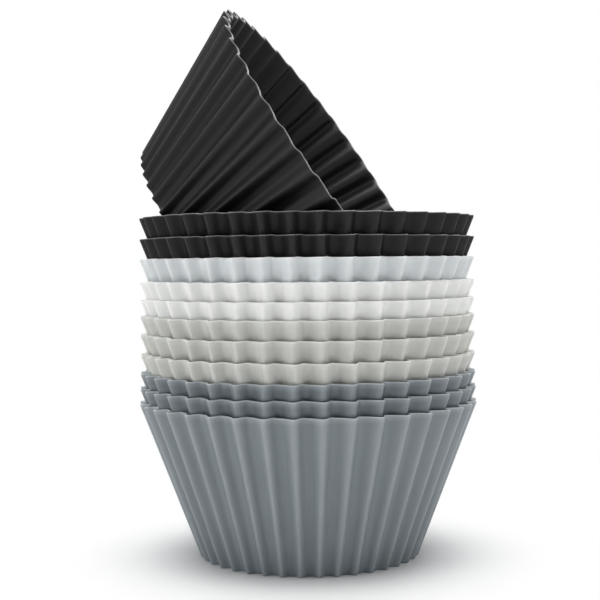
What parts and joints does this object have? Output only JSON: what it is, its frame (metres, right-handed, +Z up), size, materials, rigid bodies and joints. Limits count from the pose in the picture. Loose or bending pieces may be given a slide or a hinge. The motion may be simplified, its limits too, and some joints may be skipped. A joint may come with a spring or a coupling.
{
  "type": "stack of cupcake liners",
  "caption": "Nested fluted silicone baking cups in slate, light grey, white and black, with a loose black cup leaning in the mouth of the top one.",
  "frame": {"origin": "on the axis of the nested cups, in the plane of the lowest cup's underside", "axes": "+Z up along the axis of the nest; -Y is the pictured front; the loose cup's mouth faces +X, turned a little towards the front"},
  "size_m": [0.07, 0.0699, 0.1142],
  "materials": {
    "slate_silicone": "satin",
    "light_grey_silicone": "satin",
    "white_silicone": "satin",
    "black_silicone": "satin"
  },
  "bodies": {
    "root": {"liner_01_slate": "slate_silicone", "liner_02_slate": "slate_silicone", "liner_03_slate": "slate_silicone", "liner_04_light_grey": "light_grey_silicone", "liner_05_light_grey": "light_grey_silicone", "liner_06_light_grey": "light_grey_silicone", "liner_07_white": "white_silicone", "liner_08_white": "white_silicone", "liner_09_white": "white_silicone", "liner_10_black": "black_silicone", "liner_11_black": "black_silicone", "liner_12_black_tilted": "black_silicone"}
  },
  "joints": []
}
